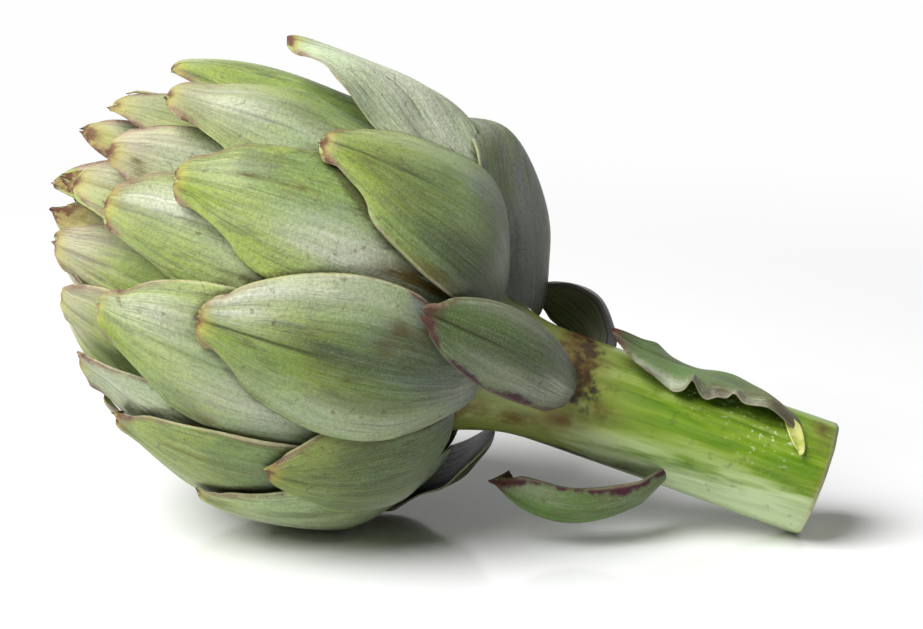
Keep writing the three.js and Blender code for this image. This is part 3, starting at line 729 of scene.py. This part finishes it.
# how each leaf is coloured, from its lowest row up; spots lie at shares along and across the leaf
PAINTS = {
    "outer_bract_1": dict(
        line=0.9,
        lime=[(0.9, 0.2, 0.1, 0.5, 1.0), (0.62, 0.1, 0.16, 0.35, 0.9), (0.75, -0.35, 0.12, 0.25, 0.6)],
        bloom=[
            (0.08, 0.1, 0.1, 0.8, 0.4),
            (0.88, -0.5, 0.14, 0.35, 0.9),
            (0.6, -0.85, 0.3, 0.3, 0.8),
            (0.45, 0.75, 0.3, 0.25, 0.55),
        ],
        dusk=[(0.5, -0.05, 0.2, 0.3, 1.0), (0.35, -0.4, 0.12, 0.25, 1.0), (0.25, 0.1, 0.14, 0.4, 0.5)],
        scars=[
            (0.38, -0.5, 0.03, 0.1, 0.8),
            (0.33, -0.38, 0.03, 0.08, 0.8),
            (0.42, -0.25, 0.03, 0.1, 0.7),
            (0.3, -0.6, 0.03, 0.1, 0.7),
            (0.5, 0.2, 0.015, 0.04, 0.9),
        ],
        tone_and_shading=-0.08,
        lilac=0.55,
        rimmed=1.0,
    ),
    "outer_bract_2": dict(
        line=0.9,
        lime=[(0.85, 0.25, 0.16, 0.6, 0.9), (0.55, 0.45, 0.2, 0.35, 0.6), (0.7, -0.4, 0.2, 0.2, 0.5)],
        bloom=[(0.97, 0.1, 0.04, 0.4, 0.7), (0.6, -0.7, 0.3, 0.3, 0.4), (0.15, 0.2, 0.1, 0.6, 0.3)],
        dusk=[(0.6, 0.1, 0.25, 0.4, 0.6), (0.35, 0.65, 0.22, 0.35, 1.0), (0.15, 0.0, 0.15, 1.0, 0.5)],
        scars=[(0.8, 0.2, 0.05, 0.1, 0.6), (0.55, 0.2, 0.04, 0.08, 0.5), (0.3, 0.95, 0.2, 0.08, 0.9)],
        tone_and_shading=-0.1,
        lilac=0.9,
    ),
    "outer_bract_3": dict(
        dusk=[(0.5, 0.0, 0.35, 0.7, 0.8)],
        bloom=[(0.3, 0.6, 0.2, 0.4, 0.4), (0.3, 0.9, 0.3, 0.2, 0.5)],
        scars=[(0.97, 0.2, 0.03, 0.4, 1.0)],
        tone_and_shading=-0.28,
    ),
    # this leaf lies deep in shade under the head: its near-black tone and dusk over the whole leaf are
    # painted shade
    "outer_bract_4": dict(dusk=[(0.5, 0.0, 0.8, 2.0, 1.0)], tone_and_shading=-1.0, lilac=0.0, rimmed=0.4),
    "outer_bract_5": dict(bloom=[(0.6, 0.3, 0.3, 0.5, 0.7)], scars=[(0.95, -0.3, 0.08, 0.3, 0.8)], tone_and_shading=0.45),
    "outer_bract_8": dict(
        lime=[(0.97, 0.0, 0.05, 0.8, 0.5), (0.6, 0.5, 0.2, 0.3, 0.3)],
        bloom=[(0.6, 0.0, 0.4, 0.8, 0.9)],
        scars=[(0.99, 0.0, 0.015, 0.8, 0.8)],
        tone_and_shading=0.8,
    ),
    "outer_bract_9": dict(
        lime=[(0.9, 0, 0.1, 0.5, 0.3)],
        dusk=[(0.3, -0.9, 0.5, 0.4, 0.8)],
        rimmed=(0.0, 1.0),
        grey=0.85,
        lilac=0.9,
        tone_and_shading=0.15,
    ),
    "middle_bract_1": dict(
        lime=[(0.85, 0.0, 0.12, 0.5, 0.8)],
        dusk=[(0.45, -0.2, 0.3, 0.6, 0.5)],
        bloom=[(0.5, 0.5, 0.3, 0.5, 0.5)],
        scars=[(0.96, -0.1, 0.03, 0.4, 1.0), (0.93, 0.1, 0.04, 0.06, 1.0), (0.72, -0.5, 0.1, 0.03, 0.9)],
        tone_and_shading=-0.12,
        lilac=0.3,
    ),
    "middle_bract_2": dict(
        lime=[(0.93, 0.35, 0.06, 0.4, 1.0), (0.6, 0.5, 0.25, 0.3, 0.8), (0.8, 0.2, 0.2, 0.2, 0.6)],
        bloom=[(0.86, -0.35, 0.1, 0.35, 0.4), (0.5, 0.25, 0.2, 0.35, 0.8)],
        dusk=[(0.3, 0.45, 0.15, 0.3, 0.9), (0.8, -0.4, 0.06, 0.15, 0.5)],
        scars=[
            (0.3, 0.3, 0.1, 0.12, 1.0),
            (0.24, 0.25, 0.06, 0.2, 1.0),
            (0.8, -0.3, 0.04, 0.04, 1.0),
            (0.68, -0.3, 0.06, 0.04, 0.9),
            (0.97, 0.4, 0.03, 0.2, 0.7),
        ],
        tone_and_shading=0.0,
    ),
    "middle_bract_6": dict(
        lime=[(0.95, 0.3, 0.05, 0.5, 1.0), (0.7, 0.6, 0.2, 0.3, 0.5)],
        bloom=[(0.85, -0.2, 0.12, 0.5, 0.7), (0.5, 0.2, 0.3, 0.5, 0.5)],
        scars=[(0.5, 0.3, 0.05, 0.06, 0.9), (0.6, 0.5, 0.04, 0.05, 0.8), (0.75, -0.4, 0.08, 0.05, 0.6)],
        tone_and_shading=0.08,
        blush=0.4,
    ),
    "middle_bract_7": dict(
        lime=[(0.93, 0.4, 0.08, 0.4, 1.0), (0.65, 0.45, 0.2, 0.3, 0.7)],
        bloom=[(0.85, -0.4, 0.15, 0.4, 0.8), (0.55, 0.3, 0.2, 0.4, 0.6)],
        dusk=[(0.5, -0.3, 0.2, 0.3, 0.4), (0.62, 0.9, 0.1, 0.2, 0.9)],
        scars=[(0.62, 0.85, 0.06, 0.1, 0.8)],
        tone_and_shading=0.1,
    ),
    "middle_bract_10": dict(bloom=[(0.7, 0.0, 0.3, 0.7, 0.6)], tone_and_shading=0.3, grey=0.2),
    "middle_bract_11": dict(
        lime=[(0.92, 0.3, 0.08, 0.4, 1.0), (0.7, 0.3, 0.12, 0.3, 1.0)],
        bloom=[(0.85, -0.4, 0.12, 0.3, 0.9), (0.55, 0.0, 0.2, 0.5, 0.5)],
        scars=[(0.97, -0.3, 0.02, 0.2, 0.8)],
        tone_and_shading=0.15,
        blush=0.3,
    ),
    "upper_bract_1": dict(bloom=[(0.85, 0.0, 0.2, 1.0, 0.6)], tone_and_shading=0.55),
    "upper_bract_4": dict(
        scars=[(0.93, 0.15, 0.015, 0.16, 0.8), (0.92, 0.5, 0.015, 0.15, 0.8), (0.98, 0.2, 0.01, 0.3, 0.6)],
        lime=[(0.9, 0.5, 0.08, 0.4, 1.0)],
        bloom=[(0.8, -0.3, 0.15, 0.4, 0.5)],
        tone_and_shading=0.4,
        blush=0.8,
    ),
}


def tuck_in(pieces):
    """Stores how closely each point of each leaf is covered by another leaf's edge."""
    corners, faces, first = [], [], 0
    for piece in pieces:
        corners.extend(map(tuple, points_of(piece)))
        faces.extend(tuple(first + corner for corner in face.vertices) for face in piece.data.polygons)
        first = len(corners)
    leaves = BVHTree.FromPolygons(corners, faces)
    for piece in pieces:
        points, normals = points_of(piece), normals_of(piece)
        outward = np.einsum("ij,ij->i", normals, unit_rows(points - HUB))
        covered = np.zeros(len(points))
        for index in np.nonzero(outward > 0.2)[0]:
            normal = Vector(normals[index])
            start = Vector(points[index]) + LOOK_FROM * normal
            aside = normal.orthogonal().normalized()
            for turned in range(RAYS):
                way = Quaternion(normal, turned * 2 * math.pi / RAYS) @ aside
                ray = normal * LOOK_OUT + way * LOOK_ASIDE
                covered[index] += leaves.ray_cast(start, ray, TUCKED)[0] is not None
        keep(piece, "tucked", ramp(covered / RAYS, 0.15, 0.6))


stem_faces = [tuple(face.vertices) for face in stem.data.polygons]
stem_surface = BVHTree.FromPolygons(points_of(stem).tolist(), stem_faces)


def over_stem(places):
    """The way from the stem's line out to each place, how far that is, and how far out the skin is."""
    ahead = (places - heart_foot) @ stem_line
    feet = heart_foot + ahead[:, None] * stem_line
    out = places - feet
    far = np.linalg.norm(out, axis=1)
    hits = [stem_surface.ray_cast(Vector(foot), Vector(way))[3] for foot, way in zip(feet, out)]
    return out, far, np.array([hit or 0.0 for hit in hits])


def rest_on_stem(places):
    """Moves what lies just inside the stem out to its skin."""
    out, far, skin = over_stem(places)
    sunk = (far < skin + RESTING) & (skin - far < DEEPEST)
    return places + np.where(sunk, (skin + RESTING) / far - 1, 0.0)[:, None] * out


seed = 0
leaves_of_head = []
for row in ["outer_bract", "middle_bract", "upper_bract", "crown_bract"]:
    for node in bracts(row):
        seed += 1
        shape = SHAPES.get(node, ROW_SHAPES.get(row, {}))
        paint = PAINTS.get(node, ROW_PAINTS.get(row, {}))
        piece = dress_leaf(node, node.replace("bract", "leaf"), seed, HUB, bract_skin, shape, paint)
        if node == "outer_bract_9":
            set_points(piece, rest_on_stem(points_of(piece)))
        leaves_of_head.append(piece)
tuck_in(leaves_of_head)

# ---- Bud of inner bracts ----
# The innermost bracts are thin, pale and tinged with purple, and still closed over the choke. They
# are one bud here, which grows from the heart and shows only between the tips of the crown.
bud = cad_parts["inner_bracts"]
bud_skin, tree, shader = material("bud_skin")
mottled = tree.use(patches, Scale=120.0, Detail=4.0, Low=0.35, High=0.65)
tree.join(tree.mix(mottled, colour(196, 198, 140), colour(160, 130, 140)), shader.inputs["Base Color"])
tree.join(tree.range(mottled, 0.0, 1.0, 0.45, 0.6), shader.inputs["Roughness"])
bud.data.materials.clear()
bud.data.materials.append(bud_skin)

# ---- Leaves on the stem ----
# Four small leaves grow from the stem below the head: one cupped against the head, one that arches
# behind it, one that hangs below, and a withered one torn along the top of the stem.
ROOTED = 1.3 * MM  # how deep a leaf's foot goes into the stem
FOOT = 0.14  # the foot's share of the leaf

stem_leaf_skin = leaf_skin(
    "stem_leaf_skin",
    base=colour(76, 90, 74),
    middle=colour(60, 82, 34),
    upper=colour(72, 96, 26),
    lime=colour(76, 112, 16),
    lining=colour(36, 50, 18),
    rim=colour(64, 34, 52),
    rim_width=1.3,
    pale_edge=0.1,
    tip=colour(62, 54, 30),
    felt=0.16,
    haze=7.0,
)

green_leaf_skin = leaf_skin(
    "green_leaf_skin",
    base=colour(96, 116, 66),
    middle=colour(84, 116, 40),
    upper=colour(78, 108, 34),
    lime=colour(84, 130, 22),
    lining=colour(36, 50, 18),
    rim=colour(70, 36, 50),
    rim_width=1.0,
    pale_edge=0.3,
    tip=colour(50, 44, 24),
    felt=0.08,
    haze=5.0,
)


def root_on_stem(points, along):
    """Brings a leaf's foot in to the stem that it grows from."""
    out, far, skin = over_stem(points)
    pull = ramp(FOOT - along, 0, FOOT) * np.clip(1 - (skin - ROOTED) / far, 0, 1) * (skin > 0)
    return points - pull[:, None] * out


def dress_stem_leaf(node, seed, hub, skin, shape, paint):
    name = node.replace("stem_leaf", "stalk_leaf")
    piece = dress_leaf(node, name, seed, hub, skin, shape, paint, root_on_stem)


def stem_middle(distance):
    """A point on the stem's line, by its distance in millimetres from the head's centre."""
    return heart_foot + (distance - HEART_DEPTH) * MM * stem_line


dress_stem_leaf(
    "stem_leaf_front",
    101,
    HUB,
    stem_leaf_skin,
    dict(crease=0.7, notch=0.0, blunt=0.5, pulls=[(0.0, 0.0, 0.25, 2.0, (-1.2, 0.0, 0.0))]),
    dict(
        line=1.0,
        rimmed=(-0.5, 1.0),
        lime=[(0.85, -0.2, 0.15, 0.5, 0.9), (0.6, -0.4, 0.2, 0.3, 0.7)],
        bloom=[(0.45, 0.6, 0.25, 0.3, 0.4), (0.15, 0.2, 0.12, 0.6, 0.5), (0.5, -0.8, 0.3, 0.2, 0.3)],
        dusk=[(0.55, 0.0, 0.25, 0.4, 0.7)],
        scars=[(0.99, 0.3, 0.015, 0.6, 0.9), (0.1, 0.95, 0.3, 0.12, 0.9)],
        lilac=0.4,
        tone_and_shading=-0.25,
    ),
)
dress_stem_leaf(
    "stem_leaf_back",
    102,
    stem_middle(60),
    stem_leaf_skin,
    dict(
        roll=0.2,
        blunt=0.3,
        spine=0.0,
        notch=0.0,
        pulls=[(0.9, 0.0, 0.3, 2.0, (-1.5, 0.0, 0.5)), (0.5, -1.0, 0.5, 0.6, (-3.0, 0.0, -3.0))],
    ),
    dict(rimmed=1.0, grey=0.5, bloom=[(0.5, 0, 0.4, 1.0, 0.3)], ribbon=1.0),
)
dress_stem_leaf(
    "stem_leaf_lower",
    103,
    stem_middle(73),
    green_leaf_skin,
    dict(roll=0.2, spine=1.0, notch=0.0, blunt=0.0, pulls=[(0.0, 0.0, 0.15, 2.0, (4.0, 0.0, 0.3))]),
    dict(
        rimmed=1.0,
        lime=[(0.6, 0, 0.3, 0.5, 0.9)],
        scars=[(1.0, 0.0, 0.06, 2.0, 1.5)],
        lilac=0.2,
        tone_and_shading=0.05,
    ),
)
dress_stem_leaf(
    "stem_leaf_withered",
    104,
    stem_middle(95),
    green_leaf_skin,
    dict(
        waves=2.4,
        roll=0.2,
        spine=0.0,
        blunt=0.5,
        notch=0.0,
        curl=1.5,
        pulls=[
            (0.3, 0.9, 0.35, 0.6, (0.0, 0.0, 2.5)),
            (0.06, 0.9, 0.1, 0.6, (-1.0, 0.0, 4.0)),
            (0.5, 0.9, 0.04, 0.25, (0.0, 0.0, 3.0)),
            (0.4, 0.95, 0.05, 0.2, (0.0, 0.0, -1.5)),
            (0.24, 0.95, 0.03, 0.25, (0.0, 0.0, 2.0)),
        ],
    ),
    dict(
        rimmed=(0.0, 0.4),
        lime=[(0.5, 0.2, 0.4, 0.6, 0.9)],
        bloom=[(0.7, 0.9, 0.2, 0.2, 0.9), (0.3, 0.9, 0.2, 0.2, 0.7)],
        scars=[(0.1, 0.6, 0.12, 0.5, 0.9), (0.35, 0.8, 0.06, 0.2, 0.8)],
        dusk=[(0.6, -0.2, 0.2, 0.3, 0.8), (0.3, 0.1, 0.15, 0.3, 0.8)],
        lilac=0.0,
        tone_and_shading=-0.12,
    ),
)

# ---- Strip of peel ----
# A short tongue of the stem's own skin that was torn loose beside the cut. It is still joined at its
# top, hangs down over the stem and stands off it at its end, pale and pulpy on its torn side.
PEEL_THICK = 0.4 * MM
PEEL_HALF_WIDTH = 3.0 * MM
PEEL_STANDS_OFF = 1.4  # mm at its free end
PEEL_TOP = 0.87  # its place along the stem
PEEL_DRIFT = 0.05  # and how much nearer to the cut its free end is
PEEL_AROUND = -1.0, 0.6  # radians around the stem: where it starts, and how far it hangs
bpy.ops.object.select_all(action="DESELECT")
bpy.ops.mesh.primitive_grid_add(x_subdivisions=8, y_subdivisions=18, size=2.0)
peel = bpy.context.object
peel.name = "peel_strip"
spread = points_of(peel)
down, wide = (spread[:, 1] + 1) / 2, spread[:, 0]
stem_radius = np.median(radius[(along > 0.86 * length) & (along < 0.94 * length)])
# its sides run a little askew, it narrows to a round end, and it lifts off and cups as it hangs
around = PEEL_AROUND[0] + PEEL_AROUND[1] * down + 0.12 * wide * (1.1 - down) ** 0.5
ahead = (PEEL_TOP + PEEL_DRIFT * down) * length
ahead = ahead + PEEL_HALF_WIDTH * wide * np.sqrt(np.clip(1.02 - down**3, 0, 1))
lift = stem_radius + (0.1 + PEEL_STANDS_OFF * down**2 + 0.5 * wide**2 * down) * MM
out = np.cos(around)[:, None] * stem_front + np.sin(around)[:, None] * stem_under
set_points(peel, heart_foot + ahead[:, None] * stem_line + lift[:, None] * out)
thick = peel.modifiers.new("thick", "SOLIDIFY")
thick.thickness = PEEL_THICK
bpy.ops.object.modifier_apply(modifier="thick")
round_off(peel, 1, SHARP_RIM)
peel_skin, tree, shader = material("peel_skin")
where = tree.add("ShaderNodeTexCoord", out="Object")
grainy = tree.add("ShaderNodeTexNoise", Vector=where, Scale=600.0, Detail=4.0)
fade = tree.add("ShaderNodeTexNoise", Vector=where, Scale=160.0, Detail=4.0)
pulp = tree.mix(tree.range(fade, 0.4, 0.6), colour(206, 204, 120), colour(158, 172, 70))
pulp = tree.mix(tree.range(grainy, 0.5, 0.75, 0.0, 0.5), pulp, colour(228, 224, 178))
tree.join(pulp, shader.inputs["Base Color"])
tree.join(tree.range(grainy, 0.3, 0.7, 0.4, 0.6), shader.inputs["Roughness"])
peel.data.materials.append(peel_skin)
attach(peel, "root")

# ---- Table, light and camera ----
# A glossy white table top that runs on without an edge, lit by one large soft lamp at the upper left.
# Its colour and glow grey a little towards the front as painted shade, and its far parts glow white to meet
# the white studio behind.
TABLE_SIZE = 6.0
TABLE_TOP = -0.2 * MM  # a hair below the plant, which rests at 0
GREYS = -0.02, -0.14  # where the greying starts and is full
GLOWS = 0.12, 0.5  # the same for the glow, by the distance from the middle
STUDIO_LIGHT = 0.05  # what the white studio lights the plant with
STUDIO_SHOWN = 1.0  # and how bright it is to look at


def looked_at(tree):
    """1 where the eye sees a thing, straight or mirrored in a gloss, and 0 where it only gives light."""
    rays = tree.nodes.new("ShaderNodeLightPath")
    return tree.math("MAXIMUM", rays.outputs["Is Camera Ray"], rays.outputs["Is Glossy Ray"])


bpy.ops.object.select_all(action="DESELECT")
bpy.ops.mesh.primitive_plane_add(size=TABLE_SIZE, location=(0, 0, TABLE_TOP))
table = bpy.context.object
table.name = "table"
table_white, tree, shader = material("table_white")
where = tree.add("ShaderNodeTexCoord", out="Object")
grain = tree.add("ShaderNodeTexNoise", Vector=where, Scale=40.0)
# painted shade: the white table is greyed towards the front
near = tree.range(tree.add("ShaderNodeSeparateXYZ", out="Y", Vector=where), *GREYS)
white = tree.mix(near, tree.mix(grain, colour(246, 246, 247), colour(250, 250, 250)), colour(229, 229, 232))
tree.join(white, shader.inputs["Base Color"])
shader.inputs["Roughness"].default_value = 0.12
shader.inputs["Specular IOR Level"].default_value = 0.2
glowing = tree.mix(near, colour(254, 254, 254), colour(244, 244, 245))
glow = tree.add("ShaderNodeEmission", Color=glowing, Strength=1.0)
distance = tree.add("ShaderNodeVectorMath", out="Value", settings={"operation": "LENGTH"}, i0=where)
share = tree.times(tree.range(distance, *GLOWS), looked_at(tree))
surface = tree.add("ShaderNodeMixShader", i0=share, i1=shader.outputs[0], i2=glow)
tree.join(surface, tree.nodes["Material Output"].inputs["Surface"])
table.data.materials.append(table_white)

world = bpy.data.worlds.new("studio")
world.use_nodes = True
bpy.context.scene.world = world
tree = Tree(world.node_tree)
plain = tree.nodes["Background"]
lit = tree.add("ShaderNodeBackground", Color=(1, 1, 1, 1), Strength=STUDIO_LIGHT)
shown = tree.add("ShaderNodeBackground", Color=(1, 1, 1, 1), Strength=STUDIO_SHOWN)
both = tree.add("ShaderNodeMixShader", i0=looked_at(tree), i1=lit, i2=shown)
tree.join(both, tree.nodes["World Output"].inputs["Surface"])
tree.nodes.remove(plain)

LAMP_PLACE = Vector((-0.45, -0.35, 0.85))
LAMP_AIM = Vector((0.0, 0.0, 0.05))
LAMP_SIZE, LAMP_POWER = 1.0, 20.5  # metres across, and watts
lamp = bpy.data.lights.new("key", "AREA")
lamp.shape = "DISK"
lamp.size = LAMP_SIZE
lamp.energy = LAMP_POWER
key = bpy.data.objects.new("key", lamp)
bpy.context.scene.collection.objects.link(key)
lamp_turn = (LAMP_AIM - LAMP_PLACE).to_track_quat("-Z", "Y").to_matrix().to_4x4()
key.matrix_world = Matrix.Translation(LAMP_PLACE) @ lamp_turn

AZIMUTH, ELEVATION = math.radians(6), math.radians(14)
LENS, SENSOR = 100.0, 36.0  # mm
DISTANCE = 0.59
LOOKS_AT = Vector((-0.006, 0.0035, 0.0508))
SHIFT = 0.037145, -0.002415  # metres to the right and up, which frames the stem too
level = math.cos(ELEVATION)
back = Vector((math.sin(AZIMUTH) * level, -math.cos(AZIMUTH) * level, math.sin(ELEVATION)))
right = Vector((math.cos(AZIMUTH), math.sin(AZIMUTH), 0))
above = back.cross(right)
aim = LOOKS_AT + right * SHIFT[0] + above * SHIFT[1]
camera_data = bpy.data.cameras.new("camera")
camera_data.lens = LENS
camera_data.sensor_width = SENSOR
camera = bpy.data.objects.new("camera", camera_data)
bpy.context.scene.collection.objects.link(camera)
turned = Matrix((right, above, back)).transposed().to_4x4()
camera.matrix_world = Matrix.Translation(aim + back * DISTANCE) @ turned
bpy.context.scene.camera = camera
bpy.context.scene.view_settings.view_transform = "Standard"
